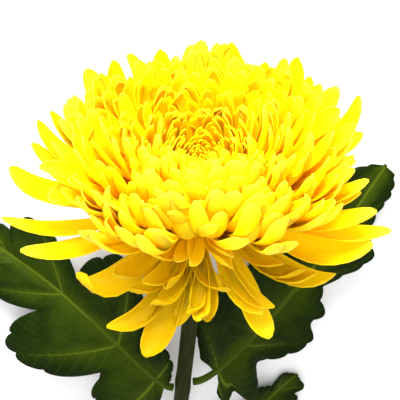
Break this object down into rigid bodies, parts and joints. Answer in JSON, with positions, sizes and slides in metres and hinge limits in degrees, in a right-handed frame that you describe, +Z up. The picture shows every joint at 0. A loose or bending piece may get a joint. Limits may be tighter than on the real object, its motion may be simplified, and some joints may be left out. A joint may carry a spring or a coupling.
{
  "type": "cut decorative chrysanthemum",
  "caption": "Cut yellow chrysanthemum lying down: a full bloom of hooded ray petals on a leafy stem with large lobed leaves.",
  "frame": {"origin": "middle of the footprint on the surface the flower lies on", "axes": "+Y along the stem, from its cut end towards the bloom; +Z up from the surface; +X to the right seen from above with the bloom away"},
  "size_m": [0.157, 0.214, 0.0948],
  "materials": {
    "petal_yellow": "soft matte petal, translucent",
    "calyx_green": "matte green bracts",
    "stem_green": "ribbed, slightly woody green stem",
    "leaf_green": "leathery dark green with a soft sheen"
  },
  "bodies": {
    "root": {"bloom": "petal_yellow", "calyx": "calyx_green", "stem": "stem_green", "leaf_left_upper": "leaf_green", "leaf_right_upper": "leaf_green", "leaf_right_lower": "leaf_green", "leaf_left_lower": "leaf_green"}
  },
  "joints": []
}
